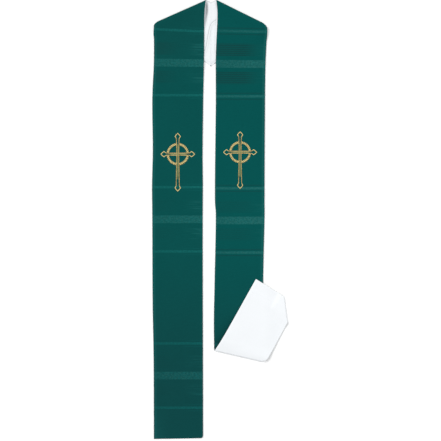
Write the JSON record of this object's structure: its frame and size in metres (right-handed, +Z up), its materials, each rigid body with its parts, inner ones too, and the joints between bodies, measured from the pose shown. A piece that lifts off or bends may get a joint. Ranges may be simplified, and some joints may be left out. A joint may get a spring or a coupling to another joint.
{
  "type": "clerical stole",
  "caption": "Long lined clerical stole laid flat, folded over at the shoulders, with embroidered ringed crosses on the front panels and one end turned back.",
  "frame": {"origin": "middle of the laid stole's footprint, on the surface it lies on", "axes": "+Z up from the surface, +Y along the front panels towards the neck, +X across the panels to the viewer's right, where the turned-back end is"},
  "size_m": [0.4082, 1.3268, 0.0085],
  "materials": {
    "green_brocade": "matte deep green cloth with tonal woven stripes across it",
    "white_lining": "smooth white lining with a soft satin sheen",
    "gold_thread": "satin-stitched gold embroidery thread"
  },
  "bodies": {
    "root": {"shell_left": "green_brocade", "shell_right": "green_brocade", "lining_left": "white_lining", "lining_right": "white_lining", "cross_left": "gold_thread", "cross_right": "gold_thread"}
  },
  "joints": []
}
